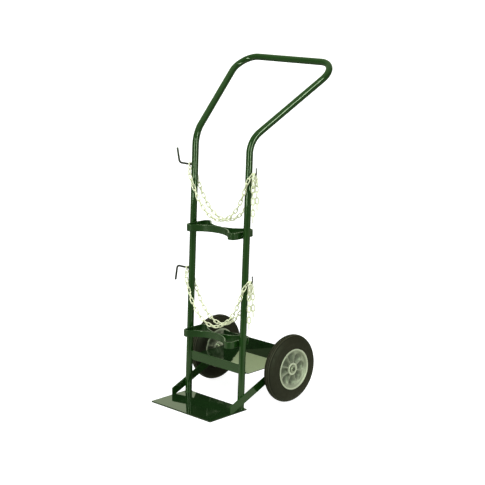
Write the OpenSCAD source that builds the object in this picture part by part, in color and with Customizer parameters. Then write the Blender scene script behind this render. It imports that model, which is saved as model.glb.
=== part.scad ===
// Two-cylinder welding cart: bent tube frame, toe plate, rear tray, two pairs of
// cylinder rests, two 10 inch wheels and four safety chains on hooks.
// X is across the cart, -Y is the toe plate side, +Y is the axle side, Z is up,
// and the origin lies on the floor midway between the two uprights.

/* [Frame] */
// Outside diameter of the frame tube
tube_d = 25; // [22:0.5:28]
// Wall of the frame tube
tube_wall = 2; // [1.5:0.5:3]
// Distance between the centre lines of the uprights
upright_gap = 276; // [270:1:282]
// Backward lean of the uprights, in millimetres per millimetre of height
lean = 0.0475; // [0.03:0.0025:0.06]
// Height where the centre lines of upright and handle arm meet
knee_z = 984; // [960:2:1000]
// Height of the grip bar's centre line
grip_z = 1238; // [1200:2:1270]
// Distance of the grip bar behind the uprights' feet
grip_y = 397; // [370:1:420]
// Width of the grip bar between the centre lines of the handle arms
grip_w = 503; // [470:1:530]
// Centre line radius of the bend above each upright
knee_r = 95; // [80:1:110]
// Centre line radius of the bend at each end of the grip bar
grip_r = 72; // [55:1:80]

/* [Plates] */
// Width of the toe plate and of the tray
plate_w = 312; // [312:1:312]
// Depth of the toe plate
toe_d = 185.5; // [170:0.5:200]
// Thickness of the toe plate
toe_t = 5; // [4:0.5:6]
// Thickness of the tray's sheet
tray_t = 3; // [2:0.5:4]
// Distance of the tray's back from the uprights' feet
tray_back = 207; // [200:1:212]
// Height of the tray's back wall above its underside
tray_wall_h = 64; // [40:1:80]

/* [Cylinder rests] */
// Height of the flat bar
bar_h = 25.4; // [20:0.2:30]
// Thickness of the flat bar
bar_t = 5; // [4:0.5:6]
// Centre line radius of the arc that takes a cylinder
rest_r = 118.5; // [110:0.5:124]
// Centre line radius of the hairpin at each end of an arc
horn_r = 17; // [14:0.5:19]
// Height of the middle of the upper rests
upper_rest_z = 645; // [600:1:680]
// Height of the middle of the lower rests
lower_rest_z = 248; // [225:1:270]

/* [Wheels] */
// Radius of the tyre
tyre_r = 127; // [127:1:127]
// Width of the tyre
tyre_w = 46; // [44:1:48]
// Distance between the middle planes of the wheels
track = 388; // [386:1:396]
// Distance of the axle behind the uprights' feet
axle_y = 200; // [200:1:200]
// Diameter of the axle
axle_d = 15.9; // [15.9:0.1:15.9]
// Number of ribs on each face of a hub
hub_ribs = 8; // [6:1:10]

/* [Hooks and chains] */
// Height of the upper hooks
upper_hook_z = 866; // [840:1:890]
// Height of the lower hooks
lower_hook_z = 478; // [460:1:500]
// Diameter of the hose hook rod
hose_rod_d = 7.5; // [6:0.5:8]
// Diameter of the chain hook rod
chain_rod_d = 4.8; // [4:0.2:5]
// Wire diameter of the chain
wire_d = 3.2; // [3:0.1:3.4]
// Inside width of a chain link
link_w = 6.2; // [6:0.1:6.6]
// Wanted pitch of the chain
link_p = 21; // [19:0.5:23]
// Number of links in each loose end beside a front chain
front_tail_links = 8; // [4:1:8]
// Number of links in each loose end beside a rear chain
rear_tail_links = 6; // [4:1:8]

/* [Hidden] */

green = [0.12, 0.28, 0.13];
steel = [0.62, 0.64, 0.62];
rubber = [0.12, 0.12, 0.11];
cast = [0.66, 0.69, 0.64];
zinc = [0.85, 0.85, 0.78];
black = [0.08, 0.08, 0.08];

tr = tube_d / 2;
half_gap = upright_gap / 2;
lean_a = atan(lean);
tube_half = tr / cos(lean_a);          // half depth of a leaning tube in a level cut
inner_x = half_gap - tr;               // inner side of an upright
outer_x = half_gap + tr;               // outer side of an upright
toe_back = toe_front_y() + toe_d;
function toe_front_y() = -171.3;
axle_r = axle_d / 2;
axle_z = tyre_r;
tray_z = axle_z + axle_r + 1.05;       // underside of the tray, just over the axle
tray_front = ceil(100 * (lean * (tray_z + 9) + tube_half)) / 100; // just clear of the leaning uprights

// ---------- vectors and placing ----------
function unit(v) = v / norm(v);
function across(d) = abs(d[2]) < 0.9 ? unit(cross([0, 0, 1], d)) : unit(cross([1, 0, 0], d));
function mat(e1, e2, e3, o) = [
    [e1[0], e2[0], e3[0], o[0]],
    [e1[1], e2[1], e3[1], o[1]],
    [e1[2], e2[2], e3[2], o[2]],
    [0, 0, 0, 1]];

// Round bar between two points
module rod(a, b, r) {
    d = unit(b - a);
    s = across(d);
    multmatrix(mat(s, cross(d, s), d, a)) cylinder(r = r, h = norm(b - a), $fn = 48);
}

// Round bar through points p, with a bend of radius rb[i] at each inner point
function tang(p, rb, i) = let (a = unit(p[i - 1] - p[i]), b = unit(p[i + 1] - p[i])) rb[i] * tan(acos(-a * b) / 2);
function leg_from(p, rb, i) = i == 0 ? p[0] : p[i] + unit(p[i + 1] - p[i]) * tang(p, rb, i);
function leg_to(p, rb, i) = i + 1 == len(p) - 1 ? p[i + 1] : p[i + 1] + unit(p[i] - p[i + 1]) * tang(p, rb, i + 1);

// The straight legs are a hair thinner than the bends and reach a little way into them
step = 0.02;
tube_step = 0.05;
function reach(rb, st) = 0.5 * sqrt(2 * rb * st);
module bent_rod(p, rb, r, st = step) {
    n = len(p);
    for (i = [0:n - 2]) {
        a = leg_from(p, rb, i);
        b = leg_to(p, rb, i);
        d = unit(b - a);
        rod(a - d * (i == 0 ? 0 : reach(rb[i], st)), b + d * (i == n - 2 ? 0 : reach(rb[i + 1], st)), r - st);
    }
    for (i = [1:n - 2]) {
        a = unit(p[i - 1] - p[i]);
        b = unit(p[i + 1] - p[i]);
        turn = acos(-a * b);
        c = p[i] + unit(a + b) * rb[i] / cos(turn / 2);
        u = unit(p[i] + a * tang(p, rb, i) - c);
        multmatrix(mat(u, -a, cross(u, -a), c))
            rotate_extrude(angle = turn, $fn = 96) translate([rb[i], 0]) circle(r = r, $fn = 48);
    }
}

// ---------- frame ----------
function frame_pts(z0) = [
    [-half_gap, lean * z0, z0],
    [-half_gap, lean * knee_z, knee_z],
    [-grip_w / 2, grip_y, grip_z],
    [grip_w / 2, grip_y, grip_z],
    [half_gap, lean * knee_z, knee_z],
    [half_gap, lean * z0, z0]];
frame_rb = [0, knee_r, grip_r, grip_r, knee_r, 0];

module frame_tube() color(green)
    difference() {
        bent_rod(frame_pts(0), frame_rb, tr, tube_step);
        bent_rod(frame_pts(-5), frame_rb, tr - tube_wall, 0.08);
        translate([-half_gap - 20, -20, -10]) cube([40, 40, 10 + toe_t]);
        translate([half_gap - 20, -20, -10]) cube([40, 40, 10 + toe_t]);
    }

// Solid stand-in of one upright, for coping the ends that meet it
module upright(side) rod([side * half_gap, 0, 0], [side * half_gap, lean * 900, 900], tr - tube_step);

module toe_plate() color(green)
    translate([-plate_w / 2, toe_front_y(), 0]) cube([plate_w, toe_d, toe_t]);

module rear_tray() color(green) {
    d = tray_back - tray_front;
    rb = 5;
    translate([-plate_w / 2, 0, 0]) rotate([90, 0, 90]) linear_extrude(plate_w)
        union() {
            translate([tray_front, tray_z]) square([d - rb, tray_t]);
            translate([tray_back - tray_t, tray_z + rb]) square([tray_t, tray_wall_h - rb]);
            intersection() {
                translate([tray_back - rb, tray_z + rb]) difference() {
                    circle(r = rb, $fn = 48);
                    circle(r = rb - tray_t, $fn = 48);
                }
                translate([tray_back - rb, tray_z]) square([rb, rb]);
            }
        }
}

crossbar_z = 133;
crossbar_h = 35;
module crossbar() color(green)
    difference() {
        translate([-half_gap, lean * (crossbar_z + crossbar_h / 2) - bar_t / 2, crossbar_z])
            cube([2 * half_gap, bar_t, crossbar_h]);
        upright(-1);
        upright(1);
    }

// Flat bar bent to a cylinder rest, open towards -Y, with a hairpin at each end
// and a short leg welded along the inner side of each upright. The back of the arc
// touches the plane y = 0.
module rest_half() {
    th = asin((inner_x - bar_t / 2 - horn_r) / (rest_r + horn_r));
    yc = -bar_t / 2 - rest_r;                       // centre of the arc
    yh = yc + (rest_r + horn_r) * cos(th);          // centre of the hairpins
    xh = inner_x - bar_t / 2 - horn_r;
    translate([0, yc, -bar_h / 2]) rotate([0, 0, 90 - th])
        rotate_extrude(angle = 2 * th, $fn = 180) translate([rest_r - bar_t / 2, 0]) square([bar_t, bar_h]);
    // the hairpins are a hair thinner and reach a little way into the arc and the legs
    e = 0.5 / horn_r * 180 / PI;
    for (s = [0, 1]) mirror([s, 0, 0]) {
        translate([xh, yh, -bar_h / 2 + step]) rotate([0, 0, -90 - th - e])
            rotate_extrude(angle = 90 + th + 2 * e, $fn = 96)
                translate([horn_r - bar_t / 2 + step, 0]) square([bar_t - 2 * step, bar_h - 2 * step]);
        translate([inner_x - bar_t, yh, -bar_h / 2]) cube([bar_t, -yh, bar_h]);
    }
}

module rest_at(z, back) color(green)
    translate([0, lean * z, z]) mirror([0, back, 0]) rest_half();

module upper_front_rest() rest_at(upper_rest_z, 0);
module upper_rear_rest() rest_at(upper_rest_z, 1);
module lower_front_rest() rest_at(lower_rest_z, 0);
module lower_rear_rest() rest_at(lower_rest_z, 1);

// Flat bar on edge from the toe plate past the outside of the upright to the axle
brace_k = 0.41;
brace_lo = 27.1;
brace_hi = 59.3;
brace_front = -69;
brace_end = 214;
module brace() color(green)
    difference() {
        translate([outer_x, 0, 0]) rotate([90, 0, 90]) linear_extrude(5)
            polygon([
                [brace_front, toe_t],
                [(toe_t - brace_lo) / brace_k, toe_t],
                [brace_end, brace_lo + brace_k * brace_end],
                [brace_end, tray_z],
                [(tray_z - brace_hi) / brace_k, tray_z],
                [brace_front, brace_hi + brace_k * brace_front]]);
        translate([outer_x - 5, axle_y, axle_z]) rotate([0, 90, 0]) cylinder(r = axle_r, h = 15, $fn = 64);
    }
module right_brace() brace();
module left_brace() mirror([1, 0, 0]) brace();

// ---------- axle ----------
boss_half = 18;                         // half width of the hub's boss
boss_in = track / 2 - boss_half;
boss_out = track / 2 + boss_half;
axle_half = boss_out + 5.5;
module on_axle(x) translate([x, axle_y, axle_z]) rotate([0, 90, 0]) children();

module axle() color(steel)
    difference() {
        on_axle(-axle_half) cylinder(r = axle_r, h = 2 * axle_half, $fn = 64);
        for (s = [-1, 1]) on_axle(s * (axle_half - 0.75) - 1.25) difference() {
            cylinder(r = axle_r + 2, h = 2.5, $fn = 64);
            translate([0, 0, s > 0 ? -1 : 0]) cylinder(r1 = s > 0 ? axle_r + 1 : axle_r - 1.5, r2 = s > 0 ? axle_r - 1.5 : axle_r + 1, h = 3.5, $fn = 64);
        }
    }

module ring(x0, x1, ri, ro)
    on_axle(x0) difference() {
        cylinder(r = ro, h = x1 - x0, $fn = 64);
        translate([0, 0, -1]) cylinder(r = ri, h = x1 - x0 + 2, $fn = 64);
    }

module axle_spacers() color(steel)
    for (s = [0, 1]) mirror([s, 0, 0]) ring(plate_w / 2 + 0.2, boss_in - 2, axle_r, 12);

module axle_washers() color(zinc)
    for (s = [0, 1]) mirror([s, 0, 0]) {
        ring(boss_in - 2, boss_in - 0.3, axle_r, 15);
        ring(boss_out + 0.3, boss_out + 1.8, axle_r, 13.5);
    }

module axle_retainers() color(zinc)
    for (s = [0, 1]) mirror([s, 0, 0]) on_axle(boss_out + 1.8)
        rotate_extrude($fn = 96) polygon([[axle_r, 0.9], [11.5, 0], [11.5, 0.8], [9.6, 1.4], [9.2, 2.6], [axle_r, 2.6]]);

// ---------- hooks ----------
function hook_y(z) = lean * z;
module coped(side) difference() { children(); upright(side); }

// Rod that leaves the upright sideways and turns up or down
module hose_hook(z, up, out, rise) color(black)
    coped(-1) bent_rod([
        [-outer_x + 2, hook_y(z), z],
        [-out, hook_y(z), z],
        [-out - 11, hook_y(z), z + up * rise]], [0, 14, 0], hose_rod_d / 2);
module upper_hose_hook() hose_hook(upper_hook_z, 1, 221, 55);
module lower_hose_hook() hose_hook(lower_hook_z, -1, 218, 57);

module chain_hook(z) color(black)
    coped(1) bent_rod([
        [outer_x - 2, hook_y(z), z],
        [175, hook_y(z), z],
        [174, hook_y(z), z + 25]], [0, 6, 0], chain_rod_d / 2);
module upper_chain_hook() chain_hook(upper_hook_z);
module lower_chain_hook() chain_hook(lower_hook_z);

// ---------- wheels ----------
rim_r = 70;          // seat of the tyre on the hub
rim_flange_r = 76.8;
rim_half = 24.5;
function sgn(v) = v < 0 ? -1 : 1;
function tyre_crown(n, b, r0, r1) = [for (i = [0:n])
    let (f = -90 + 180 * i / n)
    [r0 + (r1 - r0) * pow(abs(cos(f)), 2 / 2.15), b * sgn(sin(f)) * pow(abs(sin(f)), 2 / 2.15)]];
function tyre_side(n, b, r0, r1, x1) = [for (i = [1:n - 1])
    let (f = 90 * i / n) [r0 - (r0 - r1) * sin(f), x1 + (b - x1) * cos(f)]];
function reverse(l) = [for (i = [len(l) - 1:-1:0]) l[i]];
function mirrored(l) = [for (p = l) [p[0], -p[1]]];

module tyre() color(rubber) {
    b = tyre_w / 2;
    r0 = 92;
    bead = rim_half + 0.3;
    side = tyre_side(8, b, r0, rim_flange_r + 0.4, bead);
    difference() {
        rotate_extrude($fn = 128)
            polygon(concat(
                [[rim_r, -rim_half + 3], [rim_flange_r + 0.4, -rim_half + 3], [rim_flange_r + 0.4, -bead]],
                reverse(mirrored(side)),
                tyre_crown(32, b, r0, tyre_r),
                side,
                [[rim_flange_r + 0.4, bead], [rim_flange_r + 0.4, rim_half - 3], [rim_r, rim_half - 3]]));
        for (k = [-2:2]) translate([0, 0, k * 6.5 - 0.8]) difference() {
            cylinder(r = tyre_r + 1, h = 1.6, $fn = 128);
            translate([0, 0, -1]) cylinder(r = tyre_r - (abs(k) == 2 ? 7 : abs(k) == 1 ? 2.7 : 1.5), h = 4, $fn = 128);
        }
    }
}

// One straight rib from the boss to the rim, on both faces of the hub's disc
rib_t = 3.4;
rib_phase = 25;
module rib()
    for (s = [0, 1]) mirror([0, 0, s]) translate([0, rib_t / 2, 0]) rotate([90, 0, 0]) linear_extrude(rib_t)
        polygon([[22, 2], [22, 15], [30, 12.5], [48, 10.5], [60, 11.5], [66, 16], [67.5, 16], [67.5, 2]]);

module hub() color(cast)
    difference() {
        union() {
            rotate_extrude($fn = 128) polygon([
                [8.5, -boss_half], [23.5, -boss_half], [25, -3.5], [62, -3.5], [65.5, -rim_half + 4], [68, -rim_half],
                [rim_flange_r - 1, -rim_half], [rim_flange_r, -rim_half + 1], [rim_flange_r, -rim_half + 3], [rim_r, -rim_half + 3],
                [rim_r, rim_half - 3], [rim_flange_r, rim_half - 3], [rim_flange_r, rim_half - 1], [rim_flange_r - 1, rim_half],
                [68, rim_half], [65.5, rim_half - 4], [62, 3.5], [25, 3.5], [23.5, boss_half], [8.5, boss_half]]);
            for (i = [0:hub_ribs - 1]) rotate([0, 0, rib_phase + i * 360 / hub_ribs]) rib();
        }
        for (s = [-1, 1]) translate([0, 0, s * (boss_half - 5) - 6]) cylinder(r = 17.5, h = 12, $fn = 96);
    }

// Ball bearing parts at each end of the hub, in the hub's own frame
race_w = 10;
function race_z(s) = s > 0 ? boss_half - 0.5 - race_w : -boss_half + 0.5;
module both() for (s = [-1, 1]) translate([0, 0, race_z(s)]) children();
module tube_ring(ri, ro, h) difference() {
    cylinder(r = ro, h = h, $fn = 96);
    translate([0, 0, -1]) cylinder(r = ri, h = h + 2, $fn = 96);
}
module outer_races() color(steel) both() tube_ring(14.6, 17.5, race_w);
module inner_races() color(steel) both() tube_ring(axle_r + 0.05, 10.8, race_w);
module balls() color(steel) both() for (i = [0:8]) rotate([0, 0, 40 * i]) translate([12.7, 0, race_w / 2]) sphere(r = 1.8, $fn = 32);
module shields() color(black) for (s = [-1, 1])
    translate([0, 0, s > 0 ? boss_half - 1.2 : -boss_half + 0.7]) tube_ring(11, 14.6, 0.5);

module right_wheel() translate([track / 2, axle_y, axle_z]) rotate([0, 90, 0]) children();
module left_wheel() mirror([1, 0, 0]) right_wheel() children();

module left_tyre() left_wheel() tyre();
module left_hub() left_wheel() hub();
module left_outer_races() left_wheel() outer_races();
module left_inner_races() left_wheel() inner_races();
module left_balls() left_wheel() balls();
module left_shields() left_wheel() shields();
module right_tyre() right_wheel() tyre();
module right_hub() right_wheel() hub();
module right_outer_races() right_wheel() outer_races();
module right_inner_races() right_wheel() inner_races();
module right_balls() right_wheel() balls();
module right_shields() right_wheel() shields();

// ---------- chains ----------
// One welded link whose inner ends lie at a and b. e2 is the direction of its width.
module link(a, b, e2, w = wire_d, wi = link_w) {
    d = unit(b - a);
    y = unit(e2 - (e2 * d) * d);
    s = round((norm(b - a) - wi) * 500) / 1000;
    rc = (wi + w) / 2;
    color(zinc) multmatrix(mat(d, y, cross(d, y), (a + b) / 2)) {
        for (k = [-1, 1]) {
            translate([k * s, 0, 0]) rotate([0, 0, k > 0 ? -90 : 90])
                rotate_extrude(angle = 180, $fn = 48) translate([rc, 0]) circle(d = w, $fn = 24);
            translate([-s, k * rc, 0]) rotate([0, 90, 0]) cylinder(d = w, h = 2 * s, $fn = 24);
        }
    }
}

function cosh(t) = (exp(t) + exp(-t)) / 2;
function smooth(t) = t <= 0 ? 0 : t >= 1 ? 1 : t * t * (3 - 2 * t);
function roll_dir(d, deg) = let (y = unit([0, 1, 0] - d[1] * d), z = cross(d, y)) y * cos(deg) + z * sin(deg);

// Centre line of a hanging chain: u from 0 to 1 across the span, hanging by catenary
// parameter a to the height low at x = m, drawn up to its hooks beyond x = 100, and pushed
// aside by dy once it is below its hooks
function cat(x, a, low, m) = low + a * (cosh((x - m) / a) - 1);
function rise(t) = t <= 0 ? 0 : t * t;
function hang(x0, x1, z, dy, a, low, m, u) =
    let (x = x0 + (x1 - x0) * u,
        zz = cat(x, a, low, m) + (z - cat(x0, a, low, m)) * rise((-x - 100) / (-x0 - 100))
            + (z - cat(x1, a, low, m)) * rise((x - 100) / (x1 - 100)))
    [x, hook_y(z) + dy * smooth((z - zz) / 24) + lean * 0.8 * (zz - z) * smooth((z - zz) / 60), zz];
HN = 600;
slack = 0.3;                            // half the play between two links
// steps that are finer towards the ends, where the chain is steepest
function ease(t) = (1 - cos(180 * t)) / 2;

module chain_run(x0, x1, z, dy, a, low, m) {
    p = [for (i = [0:HN]) hang(x0, x1, z, dy, a, low, m, ease(i / HN))];
    l = [for (s = 0, i = 0; i <= HN; s = s + (i < HN ? norm(p[i + 1] - p[i]) : 0), i = i + 1) s];
    total = l[HN];
    n0 = round(total / link_p);
    n = n0 % 2 == 1 ? n0 : n0 + 1;
    t = [for (k = [0:n]) lookup(k / n * total, [for (i = [0:HN]) [l[i], i / HN]])];
    j = [for (k = [0:n]) k == 0 ? p[0] : k == n ? p[HN] : hang(x0, x1, z, dy, a, low, m, ease(t[k]))];
    for (k = [0:n - 1]) {
        d = unit(j[k + 1] - j[k]);
        a0 = j[k] - d * (k == 0 ? hose_rod_d / 2 + 0.6 : slack);
        b0 = j[k + 1] + d * (k == n - 1 ? chain_rod_d / 2 + 0.6 : slack);
        twist = 40 * sin(180 * k / (n - 1));
        link(a0, b0, roll_dir(d, (k % 2) * 90 + twist), k == 0 ? 3.6 : wire_d, k == 0 ? 9.4 : link_w);
    }
}

left_front_x = -159;
left_rear_x = -164.6;
right_front_x = 157;
right_rear_x = 161.6;
tail_a_x = 166.5;
tail_b_x = 170.3;

// Loose end of a chain: n links that hang from height z + up, pushed aside by dy under
// the hook and by k more for each millimetre down
module chain_tail(x, z, n, dy, k, up) {
    function at(t) = [x, hook_y(z) + dy * smooth(t / 24) + k * t, z + up - t];
    for (i = [0:n - 1]) {
        a = at(i * link_p);
        b = at((i + 1) * link_p);
        d = unit(b - a);
        link(a - d * (i == 0 ? chain_rod_d / 2 + 0.6 : slack), b + d * slack,
            roll_dir(d, (i % 2) * 90 + min(45, 15 * i)));
    }
}

module upper_front_chain() chain_run(left_front_x, right_front_x, upper_hook_z, -19.8, 93, upper_hook_z - 181.5, 8);
module upper_rear_chain() chain_run(left_rear_x, right_rear_x, upper_hook_z, 18.6, 102, upper_hook_z - 186, 8);
module lower_front_chain() chain_run(left_front_x, right_front_x, lower_hook_z, -19.8, 95, lower_hook_z - 189, -2);
module lower_rear_chain() chain_run(left_rear_x, right_rear_x, lower_hook_z, 18.6, 92, lower_hook_z - 186, 0);
module upper_front_chain_end() chain_tail(tail_a_x, upper_hook_z, front_tail_links, -8.5, 0, 0);
module upper_rear_chain_end() chain_tail(tail_b_x, upper_hook_z, rear_tail_links, 5, 0.03, 1.1);
module lower_front_chain_end() chain_tail(tail_a_x, lower_hook_z, front_tail_links, -8.5, 0, 0);
module lower_rear_chain_end() chain_tail(tail_b_x, lower_hook_z, rear_tail_links, 5, 0.03, 1.1);

frame_tube();
toe_plate();
rear_tray();
crossbar();
upper_front_rest();
upper_rear_rest();
lower_front_rest();
lower_rear_rest();
left_brace();
right_brace();
axle();
axle_spacers();
axle_washers();
axle_retainers();
upper_hose_hook();
lower_hose_hook();
upper_chain_hook();
lower_chain_hook();
left_tyre();
left_hub();
left_outer_races();
left_inner_races();
left_balls();
left_shields();
right_tyre();
right_hub();
right_outer_races();
right_inner_races();
right_balls();
right_shields();
upper_front_chain();
upper_rear_chain();
lower_front_chain();
lower_rear_chain();
upper_front_chain_end();
upper_rear_chain_end();
lower_front_chain_end();
lower_rear_chain_end();
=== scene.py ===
import bpy
import bmesh
import math
from mathutils import Matrix, Vector


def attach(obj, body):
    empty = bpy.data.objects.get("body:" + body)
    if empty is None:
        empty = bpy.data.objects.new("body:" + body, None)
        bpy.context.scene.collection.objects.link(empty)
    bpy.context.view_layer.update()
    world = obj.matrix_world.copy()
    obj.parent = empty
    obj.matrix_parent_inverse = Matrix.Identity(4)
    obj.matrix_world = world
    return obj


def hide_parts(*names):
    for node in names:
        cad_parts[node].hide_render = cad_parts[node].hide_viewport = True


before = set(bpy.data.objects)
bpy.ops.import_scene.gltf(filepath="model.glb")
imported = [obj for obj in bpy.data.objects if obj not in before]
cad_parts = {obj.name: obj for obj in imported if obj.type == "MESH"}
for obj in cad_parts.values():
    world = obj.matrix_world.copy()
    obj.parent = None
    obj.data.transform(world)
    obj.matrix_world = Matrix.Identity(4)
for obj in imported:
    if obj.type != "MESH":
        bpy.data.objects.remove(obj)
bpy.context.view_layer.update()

MM = 0.001
PI = math.pi

# ---------------------------------------------------------------- sizes, in mm, as in the CAD source
LEAN = 0.0475
TR = 12.5
HALF_GAP = 138.0
OUTER_X = 150.5
INNER_X = 125.5
KNEE_Z = 984.0
GRIP_Z = 1238.0
GRIP_Y = 397.0
GRIP_W = 503.0
KNEE_R = 95.0
GRIP_R = 72.0
PLATE_W = 312.0
TOE_FRONT = -171.3
TOE_D = 185.5
TOE_T = 5.0
TRAY_T = 3.0
TRAY_BACK = 207.0
TRAY_WALL = 64.0
BAR_H = 25.4
BAR_T = 5.0
REST_R = 118.5
HORN_R = 17.0
UPPER_REST_Z = 645.0
LOWER_REST_Z = 248.0
TYRE_R = 127.0
TYRE_W = 46.0
TRACK = 388.0
AXLE_Y = 200.0
AXLE_Z = 127.0
AXLE_R = 7.95
TRAY_Z = AXLE_Z + AXLE_R + 1.05
TRAY_FRONT = math.ceil(100 * (LEAN * (TRAY_Z + 9) + TR / math.cos(math.atan(LEAN)))) / 100
UPPER_HOOK_Z = 866.0
LOWER_HOOK_Z = 478.0
HOSE_ROD = 7.5
CHAIN_ROD = 4.8
BOSS_HALF = 18.0
BOSS_IN = TRACK / 2 - BOSS_HALF
BOSS_OUT = TRACK / 2 + BOSS_HALF
AXLE_HALF = BOSS_OUT + 5.5
RIM_HALF = 24.5
RIM_R = 70.0
FLANGE_R = 76.8
RIB_PHASE = 25.0
RIBS = 8

scene = bpy.context.scene
collection = scene.collection


# ---------------------------------------------------------------- mesh building
def finish_mesh(name, bm, sharp=35.0, smooth=True, flats=0.0):
    """The bmesh, in mm, as an object in metres with smooth faces and sharp edges by angle."""
    bmesh.ops.recalc_face_normals(bm, faces=bm.faces)
    me = bpy.data.meshes.new(name)
    bm.to_mesh(me)
    bm.free()
    me.transform(Matrix.Scale(MM, 4))
    if smooth:
        me.polygons.foreach_set("use_smooth", [True] * len(me.polygons))
        me.set_sharp_from_angle(angle=math.radians(sharp))
        if flats:  # the big flat faces keep their own normal right up to their edges
            big = {}
            for poly in me.polygons:
                if poly.area > flats * MM * MM:
                    for key in poly.edge_keys:
                        big[key] = True
            for e in me.edges:
                if tuple(sorted(e.vertices)) in big:
                    e.use_edge_sharp = True
    me.update()
    o = bpy.data.objects.new(name, me)
    collection.objects.link(o)
    return o


def skin(bm, rings, closed=False, caps=True):
    """Joins rings of points, each a closed loop of as many points, and closes the ends."""
    made = [[bm.verts.new(p) for p in ring] for ring in rings]
    n = len(made[0])
    last = len(made) if closed else len(made) - 1
    for i in range(last):
        a, b = made[i], made[(i + 1) % len(made)]
        for k in range(n):
            bm.faces.new((a[k], a[(k + 1) % n], b[(k + 1) % n], b[k]))
    if caps and not closed:
        bm.faces.new(list(reversed(made[0])))
        bm.faces.new(made[-1])
    return made


def transport(points, closed=False, first=None):
    """Unit tangent, and two unit normals carried along without twist, at each point of a path."""
    n = len(points)
    out = []
    normal = None
    for i in range(n):
        if closed:
            t = points[(i + 1) % n] - points[i - 1]
        elif i == 0:
            t = points[1] - points[0]
        elif i == n - 1:
            t = points[-1] - points[-2]
        else:
            t = (points[i + 1] - points[i]).normalized() + (
                points[i] - points[i - 1]
            ).normalized()
        t = t.normalized()
        if normal is None:
            guess = Vector(first) if first else Vector((0, 0, 1))
            if abs(t.dot(guess)) > 0.95:
                guess = Vector((1, 0, 0))
            normal = (guess - t * guess.dot(t)).normalized()
        else:
            normal = (normal - t * normal.dot(t)).normalized()
        out.append((t, normal, t.cross(normal)))
    return out


def round_bar(bm, points, radius, n=32, closed=False, ends=(0.0, 0.0), shape=None):
    """A round bar along a path. ends are the edge radii of its two ends. shape(i, angle) scales the radius."""
    points = [Vector(p) for p in points]
    fr = transport(points, closed)
    rings = []
    for i, (p, (t, u, v)) in enumerate(zip(points, fr)):
        ring = []
        for k in range(n):
            a = 2 * PI * k / n
            r = radius * (shape(i, a) if shape else 1.0)
            ring.append(p + (u * math.cos(a) + v * math.sin(a)) * r)
        rings.append(ring)
    if not closed:
        for end, e in ((0, ends[0]), (1, ends[1])):
            if e <= 0:
                continue
            p, (t, u, v) = (points[0], fr[0]) if end == 0 else (points[-1], fr[-1])
            out = -t if end == 0 else t
            extra = []
            steps = 5
            for s in range(1, steps + 1):
                a = PI / 2 * s / steps
                r = radius - e * (1 - math.cos(a))
                q = p + out * (e * math.sin(a) - e)
                extra.append(
                    [
                        q + (u * math.cos(2 * PI * k / n) + v * math.sin(2 * PI * k / n)) * r
                        for k in range(n)
                    ]
                )
            # the last ring of the bar steps back, so that the rounding stays within its length
            q = p - out * e
            rings[0 if end == 0 else -1] = [
                q + (u * math.cos(2 * PI * k / n) + v * math.sin(2 * PI * k / n)) * radius
                for k in range(n)
            ]
            rings = list(reversed(extra)) + rings if end == 0 else rings + extra
    skin(bm, rings, closed)


def fillet_path(pts, radii, straight=0.0, per_turn=3.0):
    """Points of a path with a bend of radii[i] at each inner point."""
    pts = [Vector(p) for p in pts]
    out = [pts[0]]
    for i in range(1, len(pts) - 1):
        a = (pts[i - 1] - pts[i]).normalized()
        b = (pts[i + 1] - pts[i]).normalized()
        turn = math.acos(max(-1.0, min(1.0, -a.dot(b))))
        r = radii[i]
        t = r * math.tan(turn / 2)
        c = pts[i] + (a + b).normalized() * (r / math.cos(turn / 2))
        s = (pts[i] + a * t - c) / r
        w = -a
        n = max(4, int(math.degrees(turn) / per_turn))
        for k in range(n + 1):
            f = turn * k / n
            out.append(c + (s * math.cos(f) + w * math.sin(f)) * r)
    out.append(pts[-1])
    if straight:
        dense = [out[0]]
        for p in out[1:]:
            d = (p - dense[-1]).length
            m = max(1, int(d / straight))
            q = dense[-1]
            dense.extend(q + (p - q) * (j / m) for j in range(1, m + 1))
        out = dense
    return out


def lathe(bm, profile, n=96, caps=False):
    """Turns a closed loop of (radius, distance along X) about the X axis."""
    rings = []
    for k in range(n):
        a = 2 * PI * k / n
        rings.append([Vector((x, r * math.cos(a), r * math.sin(a))) for r, x in profile])
    skin(bm, rings, closed=True)


def rounded(profile, radius, steps=3):
    """A closed loop of points with its corners rounded, by radius or by one radius a point."""
    out = []
    n = len(profile)
    for i in range(n):
        p = Vector(profile[i])
        a = Vector(profile[i - 1]) - p
        b = Vector(profile[(i + 1) % n]) - p
        r = radius[i] if isinstance(radius, (list, tuple)) else radius
        if r <= 0 or a.length < 1e-6 or b.length < 1e-6:
            out.append((p.x, p.y))
            continue
        ang = a.angle(b)
        if ang > PI - 0.02:
            out.append((p.x, p.y))
            continue
        t = min(r / math.tan(ang / 2), a.length * 0.49, b.length * 0.49)
        r = t * math.tan(ang / 2)
        c = p + (a.normalized() + b.normalized()).normalized() * (r / math.sin(ang / 2))
        s = p + a.normalized() * t - c
        e = p + b.normalized() * t - c
        w = s.angle(e)
        for k in range(steps + 1):
            f = k / steps
            q = (s * math.sin((1 - f) * w) + e * math.sin(f * w)) / math.sin(w)
            out.append((c.x + q.x, c.y + q.y))
    return out


def supported(profile, d):
    """The same loop with a point a distance d inside each end of its long sides, which keeps them flat."""
    out = []
    n = len(profile)
    for i in range(n):
        a, b = Vector(profile[i]), Vector(profile[(i + 1) % n])
        out.append((a.x, a.y))
        length = (b - a).length
        if length > 4 * d:
            for t in (d / length, 1 - d / length):
                q = a + (b - a) * t
                out.append((q.x, q.y))
    return out


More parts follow.
